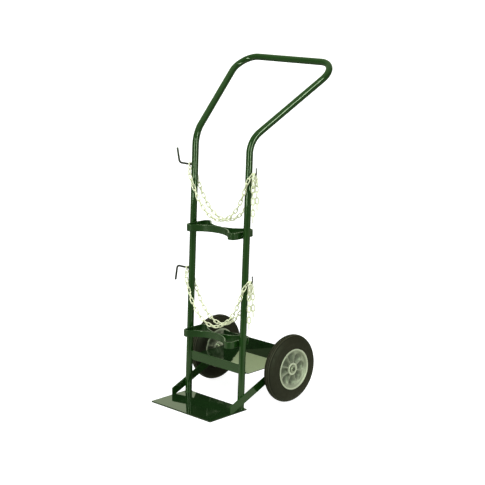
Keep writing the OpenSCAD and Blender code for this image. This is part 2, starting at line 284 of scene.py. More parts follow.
def prism(bm, outline, x0, x1, bevel=0.0, segments=2, plane="yz", angle=30.0):
    """An outline of (y, z) points carried from x0 to x1, with its edges bevelled."""
    low = [bm.verts.new((x0, p[0], p[1])) for p in outline]
    high = [bm.verts.new((x1, p[0], p[1])) for p in outline]
    faces = [bm.faces.new(list(reversed(low))), bm.faces.new(high)]
    n = len(outline)
    for k in range(n):
        faces.append(bm.faces.new((low[k], low[(k + 1) % n], high[(k + 1) % n], high[k])))
    bmesh.ops.recalc_face_normals(bm, faces=faces)
    if bevel > 0:
        edges = {
            e
            for f in faces
            for e in f.edges
            if len(e.link_faces) == 2 and e.calc_face_angle(0) > math.radians(angle)
        }
        bmesh.ops.bevel(
            bm,
            geom=list(edges),
            offset=bevel,
            segments=segments,
            profile=0.5,
            affect="EDGES",
            clamp_overlap=True,
        )


def flat_bar(bm, path, thick, height, z, edge=0.7, steps=3):
    """A flat bar standing on edge along a level path of (x, y) points."""
    prof = rounded(
        [
            (-thick / 2, -height / 2),
            (thick / 2, -height / 2),
            (thick / 2, height / 2),
            (-thick / 2, height / 2),
        ],
        edge,
        steps,
    )
    prof = supported(prof, 0.5)
    pts = [Vector((p[0], p[1])) for p in path]
    rings = []
    n = len(pts)
    normals = []
    for i, p in enumerate(pts):
        if i == 0:
            t = pts[1] - pts[0]
        elif i == n - 1:
            t = pts[-1] - pts[-2]
        else:
            t = (pts[i + 1] - p).normalized() + (p - pts[i - 1]).normalized()
        t = t.normalized()
        normals.append((t, Vector((-t.y, t.x))))
    for i, p in enumerate(pts):
        t, m = normals[i]
        rings.append([Vector((p.x + m.x * a, p.y + m.y * a, z + b)) for a, b in prof])
    # small chamfers at the two ends
    for end in (0, -1):
        t, m = normals[end]
        s = 0.5 if end == 0 else -0.5
        rings[end] = [v + Vector((t.x * s, t.y * s, 0)) for v in rings[end]]
        p = pts[end]
        k = 0.86
        cap = [Vector((p.x + m.x * a * k, p.y + m.y * a * k, z + b * (1 - 0.14 * thick / height))) for a, b in prof]
        if end == 0:
            rings.insert(0, cap)
        else:
            rings.append(cap)
    skin(bm, rings)


# ---------------------------------------------------------------- materials
def mat_nodes(name):
    m = bpy.data.materials.new(name)
    m.use_nodes = True
    nt = m.node_tree
    nt.nodes.clear()
    out = nt.nodes.new("ShaderNodeOutputMaterial")
    bsdf = nt.nodes.new("ShaderNodeBsdfPrincipled")
    nt.links.new(bsdf.outputs["BSDF"], out.inputs["Surface"])
    tc = nt.nodes.new("ShaderNodeTexCoord")
    return m, nt, bsdf, tc


def noise(nt, coord, scale, detail=3.0, rough=0.5, stretch=None, distortion=0.0):
    if stretch:
        mp = nt.nodes.new("ShaderNodeMapping")
        mp.inputs["Scale"].default_value = stretch
        nt.links.new(coord, mp.inputs["Vector"])
        coord = mp.outputs["Vector"]
    n = nt.nodes.new("ShaderNodeTexNoise")
    n.inputs["Scale"].default_value = scale
    n.inputs["Detail"].default_value = detail
    n.inputs["Roughness"].default_value = rough
    n.inputs["Distortion"].default_value = distortion
    nt.links.new(coord, n.inputs["Vector"])
    return n.outputs["Fac"]


def ramp(nt, fac, stops):
    r = nt.nodes.new("ShaderNodeValToRGB")
    el = r.color_ramp.elements
    el[0].position, el[0].color = stops[0][0], (*stops[0][1], 1)
    el[1].position, el[1].color = stops[-1][0], (*stops[-1][1], 1)
    for pos, col in stops[1:-1]:
        e = el.new(pos)
        e.color = (*col, 1)
    nt.links.new(fac, r.inputs["Fac"])
    return r.outputs["Color"]


def span(nt, fac, lo, hi, a, b):
    """fac from lo..hi taken to a..b."""
    m = nt.nodes.new("ShaderNodeMapRange")
    m.inputs["From Min"].default_value = lo
    m.inputs["From Max"].default_value = hi
    m.inputs["To Min"].default_value = a
    m.inputs["To Max"].default_value = b
    nt.links.new(fac, m.inputs["Value"])
    return m.outputs["Result"]


def bump(nt, bsdf, height, distance, strength=1.0, after=None):
    b = nt.nodes.new("ShaderNodeBump")
    b.inputs["Distance"].default_value = distance
    b.inputs["Strength"].default_value = strength
    nt.links.new(height, b.inputs["Height"])
    if after is not None:
        nt.links.new(after, b.inputs["Normal"])
    nt.links.new(b.outputs["Normal"], bsdf.inputs["Normal"])
    return b.outputs["Normal"]


def mix(nt, fac, a, b, blend="MIX"):
    m = nt.nodes.new("ShaderNodeMix")
    m.data_type = "RGBA"
    m.blend_type = blend
    for sock, val in ((m.inputs["Factor"], fac), (m.inputs["A"], a), (m.inputs["B"], b)):
        if isinstance(val, (int, float)):
            sock.default_value = val
        elif isinstance(val, tuple):
            sock.default_value = (*val, 1)
        else:
            nt.links.new(val, sock)
    return m.outputs["Result"]


def math_node(nt, op, a, b=None, c=None):
    m = nt.nodes.new("ShaderNodeMath")
    m.operation = op
    for i, val in enumerate((a, b, c)):
        if val is None:
            continue
        if isinstance(val, (int, float)):
            m.inputs[i].default_value = val
        else:
            nt.links.new(val, m.inputs[i])
    return m.outputs[0]


# pale colours of the painted pool of light on the tray's floor
TRAY_PAINTED_LIGHT_A = (0.245, 0.280, 0.190)
TRAY_PAINTED_LIGHT_B = (0.300, 0.335, 0.240)


def enamel(name, dark, light, rough=0.16, peel=1.0, metallic=0.0, painted_light_patch=False):
    """Sprayed gloss enamel: slow changes of shade, fine flow marks and orange peel."""
    m, nt, bsdf, tc = mat_nodes(name)
    obj = tc.outputs["Object"]
    slow = noise(nt, obj, 9.0, 3.0, 0.55)
    fine = noise(nt, obj, 620.0, 2.0, 0.6)
    base = ramp(nt, slow, [(0.3, dark), (0.7, light)])
    speck = noise(nt, obj, 1900.0, 1.0, 0.5)
    base = mix(nt, span(nt, speck, 0.62, 0.8, 0.0, 0.35), base, tuple(c * 1.8 for c in light))
    gloss = span(nt, noise(nt, obj, 34.0, 3.0, 0.6), 0.3, 0.7, rough * 0.75, rough * 1.4)
    if painted_light_patch:  # the tray's floor: a painted pale pool of light, cut off along a diagonal that stands in for a shadow's edge, and rougher there
        sep = nt.nodes.new("ShaderNodeSeparateXYZ")
        nt.links.new(obj, sep.inputs[0])
        low = span(nt, sep.outputs["Z"], (TRAY_Z + TRAY_T + 0.9) * MM, (TRAY_Z + TRAY_T + 0.3) * MM, 0.0, 1.0)
        high = span(nt, sep.outputs["Z"], (TRAY_Z + TRAY_T - 0.5) * MM, (TRAY_Z + TRAY_T - 0.2) * MM, 0.0, 1.0)
        inside = span(nt, sep.outputs["Y"], (TRAY_BACK - 5.0) * MM, (TRAY_BACK - 6.0) * MM, 0.0, 1.0)
        mask = math_node(nt, "MULTIPLY", math_node(nt, "MULTIPLY", low, high), inside)
        # the painted light ends along a diagonal across the floor, which stands in for a shadow's edge
        across = math_node(nt, "ADD", sep.outputs["X"], math_node(nt, "MULTIPLY", sep.outputs["Y"], 0.64))
        wander = span(nt, noise(nt, obj, 45.0, 4.0, 0.6), 0.3, 0.7, -0.004, 0.004)
        across = math_node(nt, "ADD", across, wander)
        mask = math_node(nt, "MULTIPLY", mask, span(nt, across, 0.060, 0.066, 0.0, 1.0))
        patch_mottle = noise(nt, obj, 60.0, 5.0, 0.65, stretch=(1.0, 3.0, 1.0))
        pale = ramp(nt, patch_mottle, [(0.25, TRAY_PAINTED_LIGHT_A), (0.75, TRAY_PAINTED_LIGHT_B)])
        base = mix(nt, mask, base, pale)
        gloss = math_node(nt, "ADD", gloss, math_node(nt, "MULTIPLY", mask, 0.42))
    nt.links.new(base, bsdf.inputs["Base Color"])
    bsdf.inputs["Metallic"].default_value = metallic
    nt.links.new(gloss, bsdf.inputs["Roughness"])
    bsdf.inputs["IOR"].default_value = 1.52
    n1 = bump(nt, bsdf, noise(nt, obj, 210.0, 2.0, 0.5), 0.00006 * peel, 0.6)
    bump(nt, bsdf, fine, 0.00002 * peel, 0.5, n1)
    return m


def rubber(name):
    """Tyre rubber: warm black, fine moulding grain, pale dust here and there, and on the tread a painted highlight
    between the grooves and painted shade in them.
    """
    m, nt, bsdf, tc = mat_nodes(name)
    obj = tc.outputs["Object"]
    slow = noise(nt, obj, 14.0, 4.0, 0.6)
    base = ramp(nt, slow, [(0.3, (0.0082, 0.0066, 0.0038)), (0.72, (0.0126, 0.0102, 0.0060))])
    dust = noise(nt, obj, 160.0, 4.0, 0.65)
    base = mix(nt, span(nt, dust, 0.55, 0.85, 0.0, 0.22), base, (0.032, 0.029, 0.021))
    sep = nt.nodes.new("ShaderNodeSeparateXYZ")
    nt.links.new(obj, sep.inputs[0])
    off = math_node(nt, "ABSOLUTE", math_node(nt, "SUBTRACT", math_node(nt, "ABSOLUTE", sep.outputs["X"]), TRACK / 2 * MM))
    dy = math_node(nt, "SUBTRACT", sep.outputs["Y"], AXLE_Y * MM)
    dz = math_node(nt, "SUBTRACT", sep.outputs["Z"], AXLE_Z * MM)
    far = math_node(nt, "SQRT", math_node(nt, "ADD", math_node(nt, "MULTIPLY", dy, dy), math_node(nt, "MULTIPLY", dz, dz)))
    wave = math_node(nt, "COSINE", math_node(nt, "MULTIPLY", off, 2 * PI / 0.0065))
    tread = span(nt, far, 0.1190, 0.1205, 0.0, 1.0)
    # painted highlight on the tread between the grooves, and painted shade down in the grooves
    tread_highlight = math_node(nt, "MULTIPLY", span(nt, wave, 0.2, -0.8, 0.0, 0.75), tread)
    groove_shade = math_node(nt, "MULTIPLY", span(nt, wave, 0.3, 0.9, 0.0, 0.85), tread)
    base = mix(nt, tread_highlight, base, (0.036, 0.033, 0.0235))
    base = mix(nt, groove_shade, base, (0.0025, 0.0022, 0.0018))
    nt.links.new(base, bsdf.inputs["Base Color"])
    nt.links.new(span(nt, noise(nt, obj, 60.0, 3.0), 0.3, 0.7, 0.50, 0.68), bsdf.inputs["Roughness"])
    bsdf.inputs["IOR"].default_value = 1.36
    n1 = bump(nt, bsdf, noise(nt, obj, 900.0, 3.0, 0.6), 0.00012, 0.7)
    bump(nt, bsdf, noise(nt, obj, 120.0, 2.0, 0.5), 0.0002, 0.25, n1)
    return m


HUB_A = (0.285, 0.293, 0.262)
HUB_B = (0.355, 0.363, 0.325)
HUB_HOLLOW_SHADE = (0.075, 0.081, 0.070)
HUB_RIM_HIGHLIGHT = (0.52, 0.53, 0.48)


def cast_silver(name):
    """Cast hub in silver: satin metal with casting grain, painted shade in the hollows and a painted highlight on the
    rim and boss.
    """
    m, nt, bsdf, tc = mat_nodes(name)
    obj = tc.outputs["Object"]
    slow = noise(nt, obj, 26.0, 3.0, 0.6)
    sep = nt.nodes.new("ShaderNodeSeparateXYZ")
    nt.links.new(obj, sep.inputs[0])
    off = math_node(nt, "SUBTRACT", math_node(nt, "ABSOLUTE", sep.outputs["X"]), TRACK / 2 * MM)
    high = math_node(nt, "ABSOLUTE", off)
    dy = math_node(nt, "SUBTRACT", sep.outputs["Y"], AXLE_Y * MM)
    dz = math_node(nt, "SUBTRACT", sep.outputs["Z"], AXLE_Z * MM)
    far = math_node(nt, "SQRT", math_node(nt, "ADD", math_node(nt, "MULTIPLY", dy, dy), math_node(nt, "MULTIPLY", dz, dz)))
    base = ramp(nt, slow, [(0.3, HUB_A), (0.7, HUB_B)])
    # painted shade: darker the lower the surface lies in the hollows between the ribs
    deep = span(nt, high, 0.003, 0.0125, 0.92, 0.0)
    base = mix(nt, deep, base, HUB_HOLLOW_SHADE)
    # painted highlight: a brighter band on the rim's lip and on the top of the boss
    rim = math_node(nt, "MULTIPLY", span(nt, far, 0.0700, 0.0712, 0.0, 1.0), 0.85)
    boss = math_node(nt, "MULTIPLY", span(nt, far, 0.0240, 0.0232, 0.0, 1.0), span(nt, high, 0.0165, 0.0175, 0.0, 0.85))
    base = mix(nt, math_node(nt, "MAXIMUM", rim, boss), base, HUB_RIM_HIGHLIGHT)
    grain = noise(nt, obj, 1300.0, 2.0, 0.6)
    base = mix(nt, span(nt, grain, 0.5, 0.75, 0.0, 0.3), base, (0.52, 0.53, 0.50))
    nt.links.new(base, bsdf.inputs["Base Color"])
    bsdf.inputs["Metallic"].default_value = 0.35
    nt.links.new(span(nt, noise(nt, obj, 90.0, 3.0), 0.3, 0.7, 0.44, 0.52), bsdf.inputs["Roughness"])
    n1 = bump(nt, bsdf, grain, 0.00005, 0.5)
    bump(nt, bsdf, noise(nt, obj, 180.0, 3.0, 0.6), 0.00008, 0.25, n1)
    return m


def plated(name, a, b, rough_lo, rough_hi, metallic=1.0, grain=700.0):
    """Plated or bright steel: cloudy brightness with fine scratches."""
    m, nt, bsdf, tc = mat_nodes(name)
    obj = tc.outputs["Object"]
    slow = noise(nt, obj, 110.0, 3.0, 0.6)
    base = ramp(nt, slow, [(0.3, a), (0.7, b)])
    nt.links.new(base, bsdf.inputs["Base Color"])
    bsdf.inputs["Metallic"].default_value = metallic
    scr = noise(nt, obj, grain, 3.0, 0.7, stretch=(1.0, 1.0, 4.0))
    nt.links.new(span(nt, scr, 0.3, 0.7, rough_lo, rough_hi), bsdf.inputs["Roughness"])
    bump(nt, bsdf, scr, 0.00002, 0.5)
    return m


GREEN = enamel("green_enamel", (0.0072, 0.0330, 0.0050), (0.0098, 0.0410, 0.0068), 0.05, peel=0.12)
GREEN_BAR = enamel("green_enamel_bar", (0.0064, 0.0300, 0.0048), (0.0088, 0.0375, 0.0066), 0.20, peel=0.6)
# the plates and the tray take a darker copy of the frame's green enamel: painted shade
GREEN_PLATE = enamel("green_enamel_plate", (0.0060, 0.0175, 0.0056), (0.0080, 0.0220, 0.0072), 0.05, peel=0.5)
GREEN_TRAY = enamel("green_enamel_tray", (0.0060, 0.0175, 0.0056), (0.0080, 0.0220, 0.0072), 0.05, peel=0.5, painted_light_patch=True)
BLACK = enamel("black_enamel", (0.009, 0.009, 0.009), (0.016, 0.015, 0.014), 0.32)
RUBBER = rubber("tyre_rubber")
SILVER = cast_silver("hub_silver")
STEEL = plated("bare_steel", (0.42, 0.42, 0.38), (0.60, 0.60, 0.55), 0.22, 0.40)
DARK_STEEL = plated("dark_steel", (0.06, 0.062, 0.052), (0.10, 0.102, 0.088), 0.40, 0.56, metallic=0.6)
BEARING = plated("bearing_steel", (0.50, 0.50, 0.48), (0.62, 0.62, 0.60), 0.12, 0.25)
ZINC = plated("zinc_plate", (0.30, 0.31, 0.27), (0.40, 0.41, 0.36), 0.30, 0.46, metallic=0.6)
CHAIN = plated("chain_zinc", (0.73, 0.71, 0.61), (0.86, 0.84, 0.755), 0.20, 0.36, metallic=0.25)
SHIELD = plated("shield_black", (0.020, 0.020, 0.019), (0.035, 0.034, 0.032), 0.35, 0.55, metallic=0.3)


def use(obj, mat):
    obj.data.materials.clear()
    obj.data.materials.append(mat)
    return obj


def piece(name, bm, mat, body, nodes=(), sharp=35.0, flats=0.0):
    o = finish_mesh(name, bm, sharp, flats=flats)
    use(o, mat)
    if nodes:
        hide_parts(*nodes)
    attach(o, body)
    return o


# ---------------------------------------------------------------- frame tube
def frame_path():
    pts = [
        (-HALF_GAP, LEAN * TOE_T, TOE_T),
        (-HALF_GAP, LEAN * KNEE_Z, KNEE_Z),
        (-GRIP_W / 2, GRIP_Y, GRIP_Z),
        (GRIP_W / 2, GRIP_Y, GRIP_Z),
        (HALF_GAP, LEAN * KNEE_Z, KNEE_Z),
        (HALF_GAP, LEAN * TOE_T, TOE_T),
    ]
    return fillet_path(pts, [0, KNEE_R, GRIP_R, GRIP_R, KNEE_R, 0], per_turn=2.5)


def frame_tube():
    pts = frame_path()
    bm = bmesh.new()
    fr = transport(pts)
    rings = []
    n = 64
    for p, (t, u, v) in zip(pts, fr):
        rings.append([p + (u * math.cos(2 * PI * k / n) + v * math.sin(2 * PI * k / n)) * TR for k in range(n)])
    for end, i in ((0, 0), (-1, -1)):  # the feet are cut level on the toe plate
        d = (pts[1] - pts[0]) if end == 0 else (pts[-2] - pts[-1])
        rings[i] = [q + d * ((TOE_T - q.z) / d.z) for q in rings[i]]
    skin(bm, rings)
    return piece("frame_tube_skin", bm, GREEN, "cart", ["frame_tube"])


# ---------------------------------------------------------------- plates
def toe_plate():
    bm = bmesh.new()
    y0, y1 = TOE_FRONT, TOE_FRONT + TOE_D
    prism(bm, [(y0, 0), (y1, 0), (y1, TOE_T), (y0, TOE_T)], -PLATE_W / 2, PLATE_W / 2, 0.7, 3)
    return piece("toe_plate_skin", bm, GREEN_PLATE, "cart", ["toe_plate"], flats=1000)


def rear_tray():
    bm = bmesh.new()
    ro, ri = 5.0, 2.0
    cy, cz = TRAY_BACK - ro, TRAY_Z + ro
    outline = [(TRAY_FRONT, TRAY_Z)]
    for k in range(13):
        a = -PI / 2 + PI / 2 * k / 12
        outline.append((cy + ro * math.cos(a), cz + ro * math.sin(a)))
    outline += [(TRAY_BACK, TRAY_Z + TRAY_WALL), (TRAY_BACK - TRAY_T, TRAY_Z + TRAY_WALL)]
    for k in range(13):
        a = -PI / 2 * k / 12
        outline.append((cy + ri * math.cos(a), cz + ri * math.sin(a)))
    outline.append((TRAY_FRONT, TRAY_Z + TRAY_T))
    prism(bm, outline, -PLATE_W / 2, PLATE_W / 2, 0.55, 2, angle=40)
    return piece("rear_tray_skin", bm, GREEN_TRAY, "cart", ["rear_tray"], flats=800)


def crossbar():
    bm = bmesh.new()
    z0, h = 133.0, 35.0
    y = LEAN * (z0 + h / 2)
    x = 126.4
    outline = [(y - BAR_T / 2, z0), (y + BAR_T / 2, z0), (y + BAR_T / 2, z0 + h), (y - BAR_T / 2, z0 + h)]
    prism(bm, outline, -x, x, 1.7, 5)
    return piece("crossbar_skin", bm, GREEN, "cart", ["crossbar"], flats=600)


def rest_path():
    """Centre line of one rest, from the end of one leg to the end of the other, open towards -Y."""
    xh = INNER_X - BAR_T / 2 - HORN_R
    th = math.asin(xh / (REST_R + HORN_R))
    yc = -BAR_T / 2 - REST_R
    yh = yc + (REST_R + HORN_R) * math.cos(th)
    half = []
    n = 40
    for k in range(n + 1):  # arc from the middle out to the right hairpin
        a = PI / 2 - th * k / n
        half.append((REST_R * math.cos(a), yc + REST_R * math.sin(a)))
    a0 = -(PI / 2 + th)
    m = 36
    for k in range(1, m + 1):  # hairpin
        a = a0 + (PI / 2 + th) * k / m
        half.append((xh + HORN_R * math.cos(-PI + (a - a0) + (PI / 2 - th)), yh + HORN_R * math.sin(-PI + (a - a0) + (PI / 2 - th))))
    half.append((INNER_X - BAR_T / 2, 0.0))
    left = [(-x, y) for x, y in reversed(half[1:])]
    return left + half


def cylinder_rest(name, node, z, back):
    bm = bmesh.new()
    path = rest_path()
    s = -1 if back else 1
    path = [(x, y * s + LEAN * z) for x, y in path]
    flat_bar(bm, path, BAR_T, BAR_H, z, edge=1.7, steps=5)
    return piece(name, bm, GREEN_BAR, "cart", [node])


def brace(side):
    k, lo, hi, front, end = 0.41, 27.1, 59.3, -69.0, 214.0
    outline = [
        (front, TOE_T),
        ((TOE_T - lo) / k, TOE_T),
        (end, lo + k * end),
        (end, TRAY_Z),
        ((TRAY_Z - hi) / k, TRAY_Z),
        (front, hi + k * front),
    ]
    bm = bmesh.new()
    x0, x1 = (OUTER_X, OUTER_X + 5) if side > 0 else (-OUTER_X - 5, -OUTER_X)
    prism(bm, outline, x0, x1, 0.8, 3, angle=20)
    word = "right" if side > 0 else "left"
    return piece(word + "_brace_skin", bm, GREEN, "cart", [word + "_brace"], flats=300)


# ---------------------------------------------------------------- hooks
def hook_y(z):
    return LEAN * z


def hose_hook(name, node, z, up, out, rise):
    y = hook_y(z)
    pts = fillet_path(
        [(-OUTER_X + 1.0, y, z), (-out, y, z), (-out - 11, y, z + up * rise)], [0, 14, 0], per_turn=4
    )
    bm = bmesh.new()
    round_bar(bm, pts, HOSE_ROD / 2, 32, ends=(0, 1.0))
    return piece(name, bm, BLACK, "cart", [node])


def chain_hook(name, node, z):
    y = hook_y(z)
    pts = fillet_path([(OUTER_X - 1.0, y, z), (175, y, z), (174, y, z + 25)], [0, 6, 0], per_turn=5)
    bm = bmesh.new()
    round_bar(bm, pts, CHAIN_ROD / 2, 28, ends=(0, 0.8))
    return piece(name, bm, BLACK, "cart", [node])


# ---------------------------------------------------------------- weld beads
def bead(bm, pts, radius=1.9, closed=False, pitch=2.3, n=12, seed=0.0):
    """A rippled weld bead along a path."""
    pts = [Vector(p) for p in pts]
    if closed:
        pts.append(pts[0])
    length = sum((b - a).length for a, b in zip(pts, pts[1:]))
    m = max(8, int(length / 0.55))
    if closed:
        m = max(1, round(length / pitch)) * 4
        pitch = length / (m / 4)
    dense = []
    seg, done = 0, 0.0
    for i in range(m + (0 if closed else 1)):
        want = length * i / m
        while seg < len(pts) - 2 and done + (pts[seg + 1] - pts[seg]).length < want - 1e-9:
            done += (pts[seg + 1] - pts[seg]).length
            seg += 1
        d = pts[seg + 1] - pts[seg]
        dense.append(pts[seg] + d * ((want - done) / d.length))

    def shape(i, a):
        s = length * i / m
        ph = (s / pitch + seed + 0.18 * math.cos(a)) % 1.0
        ripple = 1.0 + 0.11 * (1 - ph) * min(1.0, ph * 6) - 0.05
        slow = 1.0 + 0.05 * math.sin(s * 0.31 + seed * 7) + 0.03 * math.sin(s * 0.83 + seed * 3)
        taper = 1.0
        if not closed:
            e = min(s, length - s) / (radius * 1.3)
            taper = math.sqrt(max(0.08, 1 - (1 - min(1.0, e)) ** 2))
        return ripple * slow * taper

    round_bar(bm, dense, radius, n, closed=closed, shape=shape)


def welds():
    bm = bmesh.new()
    k = 0.0
    for s in (-1, 1):
        # feet on the toe plate
        c = (s * HALF_GAP, LEAN * TOE_T)
        ring = [
            (c[0] + 13.1 * math.cos(2 * PI * i / 48), c[1] + 13.1 * math.sin(2 * PI * i / 48), TOE_T + 0.7)
            for i in range(48)
        ]
        bead(bm, ring, 1.9, closed=True, seed=0.2 + s)
        # crossbar ends, front and back
        for z0, z1 in ((134.5, 166.5),):
            for f in (-1, 1):
                yb = LEAN * 150.5 + f * (BAR_T / 2 + 0.3)
                bead(
                    bm,
                    [
                        (s * 125.5, yb, z0),
                        (s * 125.5, yb + LEAN * 4, (z0 + z1) / 2),
                        (s * 125.5, yb, z1),
                    ],
                    2.0,
                    seed=k,
                )
                k += 0.37
        # legs of the rests along the inner sides of the uprights
        for zr in (UPPER_REST_Z, LOWER_REST_Z):
            for f in (-1, 1):
                bead(
                    bm,
                    [
                        (s * 126.9, LEAN * (zr - 11.0) + f * 5.8, zr - 11.0),
                        (s * 126.9, LEAN * (zr + 11.0) + f * 5.8, zr + 11.0),
                    ],
                    2.0,
                    seed=k,
                )
                k += 0.29
            # the butt of front leg and rear leg, on the inside
            bead(
                bm,
                [
                    (s * (INNER_X - BAR_T - 0.1), LEAN * zr, zr - 11.2),
                    (s * (INNER_X - BAR_T - 0.1), LEAN * zr, zr + 11.2),
                ],
                1.3,
                seed=k,
            )
            k += 0.31
            # top of the legs against the tube
            bead(
                bm,
                [
                    (s * 125.2, LEAN * (zr + BAR_H / 2) - 6.5, zr + BAR_H / 2 - 0.1),
                    (s * 124.9, LEAN * (zr + BAR_H / 2), zr + BAR_H / 2 + 0.1),
                    (s * 125.2, LEAN * (zr + BAR_H / 2) + 6.5, zr + BAR_H / 2 - 0.1),
                ],
                1.5,
                seed=k,
            )
            k += 0.17
        # brace against the outer side of the upright, front and back of the tube
        for f in (-1, 1):
            yb = f * 5.9
            z0 = 27.1 + 0.41 * yb + 2.0
            z1 = 59.3 + 0.41 * yb - 2.0
            bead(
                bm,
                [(s * 149.1, LEAN * z0 + yb, z0), (s * 149.1, LEAN * z1 + yb, z1)],
                2.0,
                seed=k,
            )
            k += 0.43
        # brace on the toe plate, inner side
        bead(bm, [(s * (OUTER_X - 0.5), -67.5, TOE_T + 0.6), (s * (OUTER_X - 0.5), -52.5, TOE_T + 0.6)], 1.9, seed=k)
        # front edge of the tray behind the upright
        y = TRAY_FRONT
        bead(bm, [(s * 130.0, y + 0.6, TRAY_Z + TRAY_T + 0.2), (s * 146.5, y + 0.6, TRAY_Z + TRAY_T + 0.2)], 1.8, seed=k + 0.2)
        bead(bm, [(s * 130.5, y - 0.2, TRAY_Z - 0.4), (s * 146.0, y - 0.2, TRAY_Z - 0.4)], 1.8, seed=k + 0.5)
        # tray on the end of the brace, and the axle through the brace
        bead(bm, [(s * (OUTER_X - 0.6), 188.5, TRAY_Z - 0.5), (s * (OUTER_X - 0.6), 205.0, TRAY_Z - 0.5)], 1.6, seed=k)
        arc = [
            (
                s * (OUTER_X - 0.7),
                AXLE_Y + 8.7 * math.sin(math.radians(a)),
                AXLE_Z - 8.7 * math.cos(math.radians(a)),
            )
            for a in range(-110, 111, 10)
        ]
        bead(bm, arc, 1.6, seed=k + 0.7)
    # the backs of the front and the rear rest at their middles
    for zr in (UPPER_REST_Z, LOWER_REST_Z):
        for f in (-1, 1):
            bead(bm, [(f * 10.5, LEAN * zr, zr - 10.5), (f * 10.5, LEAN * zr, zr + 10.5)], 1.7, seed=f + zr)
        bead(bm, [(-8.0, LEAN * zr, zr + BAR_H / 2 - 0.3), (8.0, LEAN * zr, zr + BAR_H / 2 - 0.3)], 1.5, seed=zr)
    # hooks on the uprights
    for z in (UPPER_HOOK_Z, LOWER_HOOK_Z):
        for side, r in ((-1, HOSE_ROD / 2), (1, CHAIN_ROD / 2)):
            ring = []
            for i in range(32):
                a = 2 * PI * i / 32
                dy, dz = (r + 0.9) * math.cos(a), (r + 0.9) * math.sin(a)
                x = HALF_GAP + math.sqrt(max(0.0, (TR + 0.2) ** 2 - dy * dy))
                ring.append((side * x, hook_y(z) + dy, z + dz))
            bead(bm, ring, 1.35 if side < 0 else 1.2, closed=True, seed=z)
    return piece("weld_beads", bm, GREEN, "cart", sharp=60)


# ---------------------------------------------------------------- axle parts
def on_axle(bm, x=0.0):
    bmesh.ops.translate(bm, verts=bm.verts, vec=Vector((x, AXLE_Y, AXLE_Z)))


def axle():
    bm = bmesh.new()
    c = 0.9
    h = AXLE_HALF
    prof = [(0.0, -h + 1.6), (1.6, -h), (AXLE_R - c, -h), (AXLE_R, -h + c), (AXLE_R, h - c), (AXLE_R - c, h), (1.6, h), (0.0, h - 1.6)]
    n = 48
    rings = []
    for r, x in prof:
        if r == 0:
            continue
        rings.append([Vector((x, r * math.cos(2 * PI * k / n), r * math.sin(2 * PI * k / n))) for k in range(n)])
    made = skin(bm, rings, caps=False)
    for ring, x in ((made[0], -h + 1.6), (made[-1], h - 1.6)):
        tip = bm.verts.new((x, 0, 0))
        for k in range(n):
            bm.faces.new((ring[k], ring[(k + 1) % n], tip))
    on_axle(bm)
    return piece("axle_rod", bm, DARK_STEEL, "cart", ["axle"])


def ring_solid(bm, x0, x1, ri, ro, edge=0.3, n=64):
    a, b = min(x0, x1), max(x0, x1)
    part = bmesh.new()
    lathe(part, rounded([(ri, a), (ro, a), (ro, b), (ri, b)], edge, 3), n)
    me = bpy.data.meshes.new("part")
    part.to_mesh(me)
    part.free()
    bm.from_mesh(me)
    bpy.data.meshes.remove(me)


def axle_spacers():
    bm = bmesh.new()
    for s in (-1, 1):
        ring_solid(bm, s * (PLATE_W / 2 + 0.2), s * (BOSS_IN - 2), AXLE_R, 12.0, 0.5)
    on_axle(bm)
    return piece("axle_spacer_tubes", bm, STEEL, "cart", ["axle_spacers"])


def axle_washers():
    bm = bmesh.new()
    for s in (-1, 1):
        ring_solid(bm, s * (BOSS_IN - 2), s * (BOSS_IN - 0.3), AXLE_R, 15.0, 0.35)
        ring_solid(bm, s * (BOSS_OUT + 0.3), s * (BOSS_OUT + 1.8), AXLE_R, 13.5, 0.35)
    on_axle(bm)
    return piece("axle_washer_rings", bm, ZINC, "cart", ["axle_washers"])


def axle_retainers():
    """Push-on retainers: a dished rim with eight spring teeth that grip the axle."""
    bm = bmesh.new()
    x0 = BOSS_OUT + 1.8
    for s in (-1, 1):
        part = bmesh.new()
        prof = rounded([(9.3, x0 + 0.4), (9.6, x0 + 0.05), (11.5, x0), (11.5, x0 + 0.8), (9.7, x0 + 1.3), (9.2, x0 + 1.7)], 0.18, 2)
        lathe(part, [(r, s * x) for r, x in prof], 72)
        teeth = 8
        for t in range(teeth):
            a0 = 2 * PI * (t + 0.10) / teeth
            a1 = 2 * PI * (t + 0.90) / teeth
            rings = []
            m = 8
            for i in range(m + 1):
                a = a0 + (a1 - a0) * i / m
                quad = [(AXLE_R + 0.05, 2.0), (AXLE_R + 0.05, 2.6), (9.6, 1.45), (9.6, 0.75)]
                rings.append([Vector((s * (x0 + x), r * math.cos(a), r * math.sin(a))) for r, x in quad])
            skin(part, rings)
        me = bpy.data.meshes.new("part")
        part.to_mesh(me)
        part.free()
        bm.from_mesh(me)
        bpy.data.meshes.remove(me)
    on_axle(bm)
    return piece("axle_push_nuts", bm, ZINC, "cart", ["axle_retainers"], sharp=30)


